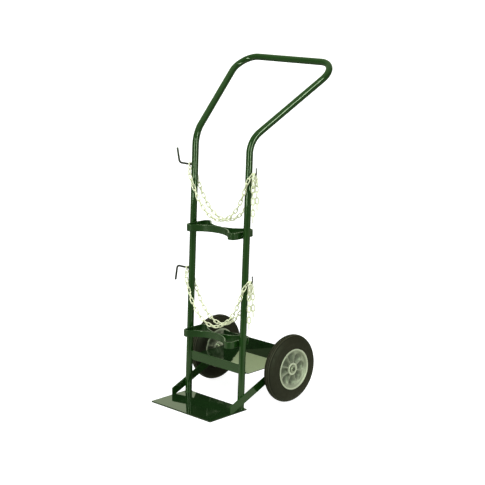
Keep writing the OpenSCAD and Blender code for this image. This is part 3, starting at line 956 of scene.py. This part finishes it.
# ---------------------------------------------------------------- wheels
def tyre_profile():
    """(radius, x) of the tyre's section, from the outer face round the tread to the inner face."""
    b = TYRE_W / 2
    r0 = 92.0
    bead_x = RIM_HALF + 0.3
    fl = FLANGE_R + 0.4

    def side(f):
        a = PI / 2 * f
        return (r0 - (r0 - fl) * math.sin(a), bead_x + (b - bead_x) * math.cos(a))

    half = []
    # tread and shoulder, from the middle out
    n = 150
    for i in range(n + 1):
        f = PI / 2 * i / n
        r = r0 + (TYRE_R - r0) * abs(math.cos(f)) ** (2 / 2.15)
        x = b * abs(math.sin(f)) ** (2 / 2.15)
        # grooves of the tread
        for c, w, d in ((0.0, 1.2, 2.2), (6.5, 1.2, 2.5), (13.0, 1.3, 2.8)):
            t = abs(x - c) / w
            if t < 1:
                r -= d * (1 - t * t) ** 0.6
            elif t < 1.5:
                r -= 0.0
        # fine lines between the grooves and on the shoulder
        if x < 16:
            r -= 0.22 * (0.5 + 0.5 * math.cos(2 * PI * x / 1.625)) * (1 if min(abs(x), abs(x - 6.5), abs(x - 13)) > 1.4 else 0)
        half.append((r, x))
    # ridges turned into the sidewall
    extra = []
    for r, x in half:
        if r < 119 and x > 17:
            bump_x = 0.0
            for c, w, d in ((112.5, 1.3, 0.6), (109.0, 0.8, 0.35), (106.8, 0.8, 0.35), (97.5, 1.2, 0.5)):
                t = abs(r - c) / w
                if t < 1:
                    bump_x += d * (1 - t * t) ** 2
            x = min(x + bump_x - 0.15, b)
        extra.append((r, x))
    half = extra
    for k in range(1, 22):
        r, x = side(k / 22)
        d = 0.0
        for c, w, h in ((88.5, 0.8, 0.3), (84.5, 0.8, 0.3), (80.8, 1.4, -0.35)):
            t = abs(r - c) / w
            if t < 1:
                d += h * (1 - t * t) ** 2
        half.append((r, min(x + d, bead_x)))
    half += [(fl + 0.25, bead_x - 0.05), (fl, bead_x - 0.5), (fl, RIM_HALF - 3), (RIM_R, RIM_HALF - 3)]
    other = [(r, -x) for r, x in reversed(half[1:])]
    return [p for p in other] + half


def tyre(side):
    bm = bmesh.new()
    lathe(bm, tyre_profile(), 192)
    bmesh.ops.translate(bm, verts=bm.verts, vec=Vector((side * TRACK / 2, AXLE_Y, AXLE_Z)))
    word = "right" if side > 0 else "left"
    return piece(word + "_tyre_skin", bm, RUBBER, word + "_wheel", [word + "_tyre"], sharp=55)


RIB_TOP = [(22, 15.5), (30, 13.2), (48, 11.2), (60, 12.2), (66, 17.0), (70, 19.5)]


def lookup(table, v):
    if v <= table[0][0]:
        return table[0][1]
    for (a, fa), (b, fb) in zip(table, table[1:]):
        if v <= b:
            t = (v - a) / (b - a)
            return fa + (fb - fa) * t
    return table[-1][1]


def smoothstep(a, b, v):
    t = max(0.0, min(1.0, (v - a) / (b - a)))
    return t * t * (3 - 2 * t)


def hub(side):
    """Cast hub: boss, eight straight ribs with scooped hollows between them, and a stepped rim."""
    bm = bmesh.new()
    half_rib = 1.0
    per = 24  # steps from the middle of a rib to the middle of a hollow
    us = [i / per for i in range(per + 1)]

    def arc(u, r):
        """Arc length from the middle of the rib at step u."""
        full = r * PI / RIBS
        k = 8 / per
        near = half_rib + 3.0 * min(1.0, full / 12.0)
        if u <= k:
            return near * u / k
        t = (u - k) / (1 - k)
        return near + (full - near) * t

    def face_x(r, u):
        """Height of the hub's face between boss and rim."""
        rr = max(24.2, min(66.0, r))
        s = arc(u, rr)
        top = lookup(RIB_TOP, rr)
        full = rr * PI / RIBS
        # each hollow is a leaf: straight along the ribs, then closing round below the rim
        start = half_rib
        if rr > 49.0:
            t = min(1.0, (rr - 49.0) / 15.5)
            start = full - (full - half_rib) * math.sqrt(max(0.0, 1 - t * t))
        wide = full - start
        d = max(0.0, min(1.0, (s - start) / max(wide, 0.01)))
        g = 1.0 if s <= start else (1.0 - d) ** 2.1 * 0.94
        floor = 1.5 + 3.0 * (1 - smoothstep(24.0, 30.0, rr)) + 6.0 * smoothstep(50.0, 65.0, rr)
        floor = min(floor, top)
        return floor + (top - floor) * g

    def section(u):
        """Closed loop of (radius, x) at step u."""
        outer = []
        # bore and bearing recess
        outer += [(10.9, BOSS_HALF - 5.6), (17.4, BOSS_HALF - 5.6), (17.5, BOSS_HALF - 5.3), (17.5, BOSS_HALF - 0.9)]
        outer += [(17.7, BOSS_HALF - 0.5), (18.2, BOSS_HALF - 0.15), (18.9, BOSS_HALF)]
        outer += [(21.2, BOSS_HALF), (22.2, BOSS_HALF - 0.25), (22.9, BOSS_HALF - 0.8), (23.4, BOSS_HALF - 1.7), (23.7, BOSS_HALF - 3.0)]
        rs = [24.2, 25.0, 26.0, 27.3, 29.0, 31.0, 33.5, 36.5, 40, 43.5, 46.5, 49, 51, 53, 54.8, 56.4, 57.8, 59.1, 60.3, 61.4, 62.4, 63.2, 63.9, 64.5, 65.2]
        outer += [(r, face_x(r, u)) for r in rs]
        # rim: inner lip, step and rounded flange
        last = outer[-1][1]
        outer += [(66.0, max(last + 0.6, 17.6)), (66.8, 20.4), (67.4, 22.0), (68.0, 22.9), (68.9, 23.2), (69.6, 22.9), (70.0, 22.2)]
        outer += [(70.5, 21.7), (71.0, 22.2), (71.5, 23.2), (72.1, 24.0), (73.0, 24.4), (74.2, 24.5), (75.5, 24.4), (76.2, 24.1), (76.6, 23.6), (76.8, 22.9), (76.8, 21.7), (76.5, 21.5), (RIM_R, 21.5)]
        return outer

    angles = []
    for i in range(RIBS):
        mid = i * 2 * PI / RIBS
        for u in [-v for v in reversed(us[1:])] + us[:-1]:
            angles.append((mid, u))
    rings = []
    for mid, u in angles:
        sec = section(abs(u))
        loop = sec + [(r, -x) for r, x in reversed(sec)]
        ring = []
        for r, x in loop:
            rr = max(24.2, min(66.0, r))
            da = arc(abs(u), rr) / rr * (1 if u >= 0 else -1)
            a = mid + da + math.radians(RIB_PHASE)
            ring.append((r, x, a))
        rings.append(ring)
    # local Z of the turned part is the axle's +X; its X axis is the row's -Z, and its Y the row's Y
    pts = []
    for ring in rings:
        pts.append([Vector((side * x, r * math.sin(a), -r * math.cos(a))) for r, x, a in ring])
    skin(bm, pts, closed=True)
    bmesh.ops.translate(bm, verts=bm.verts, vec=Vector((side * TRACK / 2, AXLE_Y, AXLE_Z)))
    word = "right" if side > 0 else "left"
    return piece(word + "_hub_casting", bm, SILVER, word + "_wheel", [word + "_hub"], sharp=50)


# ---------------------------------------------------------------- chains
WIRE = 3.9
WIRE_END = 3.2  # the links on the chain hooks, which hang side by side
LINK_W = 6.8
LINK_P = 21.0
SLACK = 0.3


def smooth01(t):
    return 0.0 if t <= 0 else 1.0 if t >= 1 else t * t * (3 - 2 * t)


def cat(x, a, low, m):
    return low + a * (math.cosh((x - m) / a) - 1)


def rise2(t):
    return 0.0 if t <= 0 else t * t


def hang(x0, x1, z, dy, a, low, m, u):
    x = x0 + (x1 - x0) * u
    zz = (
        cat(x, a, low, m)
        + (z - cat(x0, a, low, m)) * rise2((-x - 100) / (-x0 - 100))
        + (z - cat(x1, a, low, m)) * rise2((x - 100) / (x1 - 100))
    )
    y = hook_y(z) + dy * smooth01((z - zz) / 24) + LEAN * 0.8 * (zz - z) * smooth01((z - zz) / 60)
    return Vector((x, y, zz))


def roll_dir(d, deg):
    y = (Vector((0, 1, 0)) - d * d.y).normalized()
    z = d.cross(y)
    r = math.radians(deg)
    return y * math.cos(r) + z * math.sin(r)


def link(bm, a, b, e2, w=WIRE, wi=LINK_W):
    """One link of bent and butt-welded wire, whose inner ends lie at a and b."""
    d = (b - a).normalized()
    y = (e2 - d * e2.dot(d)).normalized()
    zz = d.cross(y)
    s = ((b - a).length - wi) / 2
    rc = (wi + w) / 2
    c = (a + b) / 2
    pts = []
    marks = []
    m = 12
    for k in range(m + 1):
        f = -PI / 2 + PI * k / m
        pts.append((s + rc * math.cos(f), rc * math.sin(f)))
        marks.append(0)
    for t in (0.5, 0.16, 0.06, -0.06, -0.16, -0.5):
        pts.append((s * t, rc))
        marks.append(1 if abs(t) < 0.1 else 0)
    for k in range(m + 1):
        f = PI / 2 + PI * k / m
        pts.append((-s + rc * math.cos(f), rc * math.sin(f)))
        marks.append(0)
    for t in (-0.4, 0.4):
        pts.append((s * t, -rc))
        marks.append(0)
    path = [c + d * p[0] + y * p[1] for p in pts]
    n = 12
    rings = []
    for i, p in enumerate(path):
        t = (path[(i + 1) % len(path)] - path[i - 1]).normalized()
        nrm = zz.cross(t).normalized()
        r = w / 2 * (1.05 if marks[i] else 1.0)
        rings.append([p + (nrm * math.cos(2 * PI * k / n) + zz * math.sin(2 * PI * k / n)) * r for k in range(n)])
    skin(bm, rings, closed=True)


def chain_run(name, node, body, x0, x1, z, dy, a, low, m):
    hn = 600

    def ease(t):
        return (1 - math.cos(PI * t)) / 2

    p = [hang(x0, x1, z, dy, a, low, m, ease(i / hn)) for i in range(hn + 1)]
    lens = [0.0]
    for i in range(hn):
        lens.append(lens[-1] + (p[i + 1] - p[i]).length)
    total = lens[-1]
    n0 = int(total / LINK_P + 0.5)
    n = n0 if n0 % 2 == 1 else n0 + 1
    joints = []
    j = 0
    for k in range(n + 1):
        want = total * k / n
        while j < hn - 1 and lens[j + 1] < want:
            j += 1
        t = (j + (want - lens[j]) / (lens[j + 1] - lens[j])) / hn
        joints.append(hang(x0, x1, z, dy, a, low, m, ease(max(0.0, min(1.0, t)))))
    bm = bmesh.new()
    for k in range(n):
        d = (joints[k + 1] - joints[k]).normalized()
        a0 = joints[k] - d * (HOSE_ROD / 2 + 0.6 if k == 0 else SLACK)
        b0 = joints[k + 1] + d * (CHAIN_ROD / 2 + 0.6 if k == n - 1 else SLACK)
        twist = 40 * math.sin(PI * k / (n - 1))
        wire = 3.5 if k == 0 else WIRE_END if k == n - 1 else WIRE
        link(bm, a0, b0, roll_dir(d, (k % 2) * 90 + twist), wire, 9.4 if k == 0 else LINK_W)
    return piece(name, bm, CHAIN, body, [node], sharp=80)


def chain_tail(name, node, body, x, z, n, dy, k, up):
    def at(t):
        return Vector((x, hook_y(z) + dy * smooth01(t / 24) + k * t, z + up - t))

    bm = bmesh.new()
    for i in range(n):
        a = at(i * LINK_P)
        b = at((i + 1) * LINK_P)
        d = (b - a).normalized()
        link(
            bm,
            a - d * (CHAIN_ROD / 2 + 0.6 if i == 0 else SLACK),
            b + d * SLACK,
            roll_dir(d, (i % 2) * 90 + min(45, 15 * i)),
            WIRE_END if i == 0 else WIRE,
        )
    return piece(name, bm, CHAIN, body, [node], sharp=80)


# ---------------------------------------------------------------- build
frame_tube()
toe_plate()
rear_tray()
crossbar()
cylinder_rest("upper_front_rest_bar", "upper_front_rest", UPPER_REST_Z, False)
cylinder_rest("upper_rear_rest_bar", "upper_rear_rest", UPPER_REST_Z, True)
cylinder_rest("lower_front_rest_bar", "lower_front_rest", LOWER_REST_Z, False)
cylinder_rest("lower_rear_rest_bar", "lower_rear_rest", LOWER_REST_Z, True)
brace(-1)
brace(1)
hose_hook("upper_hose_hook_rod", "upper_hose_hook", UPPER_HOOK_Z, 1, 221, 55)
hose_hook("lower_hose_hook_rod", "lower_hose_hook", LOWER_HOOK_Z, -1, 218, 57)
chain_hook("upper_chain_hook_rod", "upper_chain_hook", UPPER_HOOK_Z)
chain_hook("lower_chain_hook_rod", "lower_chain_hook", LOWER_HOOK_Z)
welds()
axle()
axle_spacers()
axle_washers()
axle_retainers()
for s in (-1, 1):
    tyre(s)
    hub(s)
    w = "right" if s > 0 else "left"
    for node, mat in (
        ("_outer_races", BEARING),
        ("_inner_races", BEARING),
        ("_balls", BEARING),
        ("_shields", SHIELD),
    ):
        use(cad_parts[w + node], mat)

UH, LH = UPPER_HOOK_Z, LOWER_HOOK_Z
chain_run("upper_front_chain_links", "upper_front_chain", "upper_front_chain_loop", -159, 157, UH, -19.8, 93, UH - 181.5, 8)
chain_run("upper_rear_chain_links", "upper_rear_chain", "upper_rear_chain_loop", -164.6, 161.6, UH, 18.6, 102, UH - 186, 8)
chain_run("lower_front_chain_links", "lower_front_chain", "lower_front_chain_loop", -159, 157, LH, -19.8, 95, LH - 189, -2)
chain_run("lower_rear_chain_links", "lower_rear_chain", "lower_rear_chain_loop", -164.6, 161.6, LH, 18.6, 92, LH - 186, 0)
chain_tail("upper_front_tail_links", "upper_front_chain_end", "upper_front_chain_tail", 166.5, UH, 8, -8.5, 0, 0)
chain_tail("upper_rear_tail_links", "upper_rear_chain_end", "upper_rear_chain_tail", 170.3, UH, 6, 5, 0.03, 1.1)
chain_tail("lower_front_tail_links", "lower_front_chain_end", "lower_front_chain_tail", 166.5, LH, 8, -8.5, 0, 0)
chain_tail("lower_rear_tail_links", "lower_rear_chain_end", "lower_rear_chain_tail", 170.3, LH, 6, 5, 0.03, 1.1)


# ---------------------------------------------------------------- floor, light and camera
def floor():
    bm = bmesh.new()
    n = 96
    rings = []
    for r in (60000.0, 8000.0, 2500.0, 600.0):
        rings.append([Vector((r * math.cos(2 * PI * k / n), r * math.sin(2 * PI * k / n), -0.2)) for k in range(n)])
    skin(bm, rings, caps=False)
    bm.faces.new([v for v in bm.verts][-n:])
    o = finish_mesh("studio_floor", bm)
    if o.data.polygons[0].normal.z < 0:
        o.data.flip_normals()
    m, nt, bsdf, tc = mat_nodes("studio_floor")
    bsdf.inputs["Base Color"].default_value = (0.36, 0.34, 0.44, 1)
    bsdf.inputs["Roughness"].default_value = 0.9
    bsdf.inputs["Specular IOR Level"].default_value = 0.1
    bsdf.inputs["Emission Color"].default_value = (1, 1, 1, 1)
    bsdf.inputs["Emission Strength"].default_value = 0.90
    o.data.materials.append(m)
    o.visible_glossy = False
    o.visible_diffuse = False


floor()

def studio_world():
    """A soft studio: a bright backdrop behind the object, dimmer towards the room and low down."""
    w = bpy.data.worlds.new("studio")
    scene.world = w
    w.use_nodes = True
    nt = w.node_tree
    bg = nt.nodes["Background"]
    tc = nt.nodes.new("ShaderNodeTexCoord")
    dot = nt.nodes.new("ShaderNodeVectorMath")
    dot.operation = "DOT_PRODUCT"
    nt.links.new(tc.outputs["Generated"], dot.inputs[0])
    dot.inputs[1].default_value = (-0.70, 0.714, 0.0)
    back = span(nt, dot.outputs["Value"], 0.70, 0.93, WORLD_FRONT, WORLD_BACK)
    back.node.interpolation_type = "SMOOTHSTEP"
    sep = nt.nodes.new("ShaderNodeSeparateXYZ")
    nt.links.new(tc.outputs["Generated"], sep.inputs[0])
    top = span(nt, sep.outputs["Z"], 0.25, 0.9, 0.0, 1.0)
    high = math_node(nt, "ADD", math_node(nt, "MULTIPLY", back, math_node(nt, "SUBTRACT", 1.0, top)), math_node(nt, "MULTIPLY", top, WORLD_TOP))
    low = span(nt, sep.outputs["Z"], -0.10, 0.02, 0.0, 1.0)
    under = span(nt, dot.outputs["Value"], -0.80, -0.35, WORLD_NEAR, WORLD_LOW)
    under.node.interpolation_type = "SMOOTHSTEP"
    ahead = span(nt, dot.outputs["Value"], 0.25, 0.80, 0.0, WORLD_AHEAD)
    ahead.node.interpolation_type = "SMOOTHSTEP"
    across = nt.nodes.new("ShaderNodeVectorMath")
    across.operation = "DOT_PRODUCT"
    nt.links.new(tc.outputs["Generated"], across.inputs[0])
    across.inputs[1].default_value = (0.714, 0.70, 0.0)
    sides = span(nt, math_node(nt, "ABSOLUTE", across.outputs["Value"]), 0.30, 0.80, 0.0, WORLD_SIDE)
    sides.node.interpolation_type = "SMOOTHSTEP"
    under = math_node(nt, "ADD", under, math_node(nt, "MAXIMUM", ahead, sides))
    both = math_node(nt, "ADD", math_node(nt, "MULTIPLY", high, low), math_node(nt, "MULTIPLY", math_node(nt, "SUBTRACT", 1.0, low), under))
    lp = nt.nodes.new("ShaderNodeLightPath")
    bounce = math_node(nt, "MULTIPLY", math_node(nt, "SUBTRACT", 1.0, low), math_node(nt, "MULTIPLY", lp.outputs["Is Diffuse Ray"], WORLD_BOUNCE))
    both = math_node(nt, "MAXIMUM", both, bounce)
    seen = math_node(nt, "MAXIMUM", both, math_node(nt, "MULTIPLY", lp.outputs["Is Camera Ray"], 1.0))
    nt.links.new(seen, bg.inputs["Strength"])
    tint = mix(nt, lp.outputs["Is Camera Ray"], TINT, (1.0, 1.0, 1.0))
    nt.links.new(tint, bg.inputs["Color"])


TINT = (0.87, 1.0, 0.68)
WORLD_BACK = 1.22
WORLD_FRONT = 0.16
WORLD_TOP = 0.52
WORLD_LOW = 0.04
WORLD_NEAR = 0.20
WORLD_BOUNCE = 0.85
WORLD_AHEAD = 0.20
WORLD_SIDE = 0.36
studio_world()


def bounce_card():
    """A round pale card on the floor, which only shows in reflections and fades out with distance."""
    bm = bmesh.new()
    n = 96
    rings = []
    for r in (2200.0, 900.0, 300.0):
        rings.append([Vector((r * math.cos(2 * PI * k / n), r * math.sin(2 * PI * k / n), -0.15)) for k in range(n)])
    skin(bm, rings, caps=False)
    bm.faces.new([v for v in bm.verts][-n:])
    o = finish_mesh("bounce_card", bm)
    if o.data.polygons[0].normal.z < 0:
        o.data.flip_normals()
    m, nt, bsdf, tc = mat_nodes("bounce_card")
    length = nt.nodes.new("ShaderNodeVectorMath")
    length.operation = "DISTANCE"
    nt.links.new(tc.outputs["Object"], length.inputs[0])
    length.inputs[1].default_value = CARD_MID
    bsdf.inputs["Base Color"].default_value = (0, 0, 0, 1)
    bsdf.inputs["Specular IOR Level"].default_value = 0.0
    bsdf.inputs["Emission Color"].default_value = (*TINT, 1)
    glow = span(nt, length.outputs["Value"], CARD_NEAR, CARD_FAR, CARD_GLOW, WORLD_LOW)
    glow.node.interpolation_type = "SMOOTHSTEP"
    side = nt.nodes.new("ShaderNodeVectorMath")
    side.operation = "DOT_PRODUCT"
    nt.links.new(tc.outputs["Object"], side.inputs[0])
    side.inputs[1].default_value = (0.70, -0.71, 0.0)
    dim = span(nt, side.outputs["Value"], CARD_EDGE, CARD_EDGE + 0.35, 1.0, CARD_DARK)
    dim.node.interpolation_type = "SMOOTHSTEP"
    across = nt.nodes.new("ShaderNodeVectorMath")
    across.operation = "DOT_PRODUCT"
    nt.links.new(tc.outputs["Object"], across.inputs[0])
    across.inputs[1].default_value = (0.71, 0.70, 0.0)
    dim = math_node(nt, "MAXIMUM", dim, span(nt, across.outputs["Value"], 0.10, 0.32, 0.0, CARD_RIGHT))
    behind = span(nt, side.outputs["Value"], -0.45, -0.20, CARD_BEHIND, 1.0)
    behind.node.interpolation_type = "SMOOTHSTEP"
    dim = math_node(nt, "MULTIPLY", dim, behind)
    sep = nt.nodes.new("ShaderNodeSeparateXYZ")
    nt.links.new(tc.outputs["Object"], sep.inputs[0])
    wide = math_node(nt, "ABSOLUTE", sep.outputs["X"])
    deep = math_node(nt, "ABSOLUTE", math_node(nt, "SUBTRACT", sep.outputs["Y"], 0.22))
    shade = math_node(nt, "MULTIPLY", span(nt, wide, 0.15, 0.21, 1.0, 0.0), span(nt, deep, 0.17, 0.30, 1.0, 0.0))
    dim = math_node(nt, "MULTIPLY", dim, span(nt, shade, 0.0, 1.0, 1.0, 0.08))
    outer = span(nt, math_node(nt, "ABSOLUTE", across.outputs["Value"]), 0.40, 0.90, 0.0, WORLD_SIDE)
    nt.links.new(math_node(nt, "MAXIMUM", math_node(nt, "MULTIPLY", glow, dim), outer), bsdf.inputs["Emission Strength"])
    o.data.materials.append(m)
    o.visible_camera = False
    o.visible_diffuse = False
    o.visible_shadow = False
    o.visible_transmission = False


CARD_MID = (0.1, -0.35, 0.0)
CARD_NEAR = 1.15
CARD_FAR = 2.0
CARD_GLOW = 0.78
CARD_EDGE = 0.40
CARD_DARK = 0.25
CARD_BEHIND = 0.45
CARD_RIGHT = 0.85
bounce_card()


def aim(o, target):
    d = Vector(target) - o.location
    o.rotation_euler = d.to_track_quat("-Z", "Y").to_euler()


def area(name, loc, target, sx, sy, power, color=(1, 1, 1)):
    light = bpy.data.lights.new(name, "AREA")
    light.shape = "RECTANGLE"
    light.size = sx
    light.size_y = sy
    light.energy = power
    light.color = color
    o = bpy.data.objects.new(name, light)
    o.location = loc
    collection.objects.link(o)
    aim(o, target)
    return o


sun = bpy.data.lights.new("soft_sun", "SUN")
sun.energy = 4.0
sun.angle = math.radians(70)
sun.color = (0.93, 1.0, 0.80)
sun_o = bpy.data.objects.new("soft_sun", sun)
sun_o.rotation_euler = (math.radians(28), math.radians(-18), math.radians(38))
collection.objects.link(sun_o)
sun_o.visible_glossy = False

FILL = 4.6

# two upright softboxes, left and right of the camera
CAM = Vector((3.43968, -3.34133, 1.67243))
mid = Vector((0, 0.1, 0.6))
for tag, turn, power, foot, tall in (("left", -35.0, 56.0, 0.46, 2.1), ("right", 35.0, 84.0, 0.35, 3.1)):
    v = CAM - mid
    v.z = 0
    v = Matrix.Rotation(math.radians(turn), 3, "Z") @ v.normalized()
    at = Vector((mid.x + v.x * 3.0, mid.y + v.y * 3.0, foot + tall / 2))
    box = area(tag + "_softbox", at, Vector((mid.x, mid.y, at.z)), 0.20, tall, power, (0.76, 1.0, 0.64))
    box.visible_diffuse = False

# a low fill from beyond the right wheel
fill = area("right_fill", Vector((0.99, 0.56, 0.26)), Vector((0.194, 0.2, 0.127)), 0.35, 0.35, FILL, (0.95, 1.0, 0.84))
fill.visible_glossy = False

cam = bpy.data.cameras.new("camera")
cam.sensor_fit = "HORIZONTAL"
cam.sensor_width = 36.0
cam.lens = 1358.828 / 485 * 36.0
cam.clip_end = 200.0
cam_o = bpy.data.objects.new("camera", cam)
fwd = Vector((-0.68503077, 0.69522924, -0.21769048)).normalized()
right = Vector((0.7120851, 0.70209168, 0.00144451)).normalized()
up = right.cross(fwd)
cam_o.matrix_world = Matrix(
    (
        (right.x, up.x, -fwd.x, CAM.x),
        (right.y, up.y, -fwd.y, CAM.y),
        (right.z, up.z, -fwd.z, CAM.z),
        (0, 0, 0, 1),
    )
)
collection.objects.link(cam_o)
scene.camera = cam_o
scene.view_settings.view_transform = "Standard"
scene.view_settings.look = "None"
scene.view_settings.exposure = 0.0
scene.view_settings.gamma = 1.0
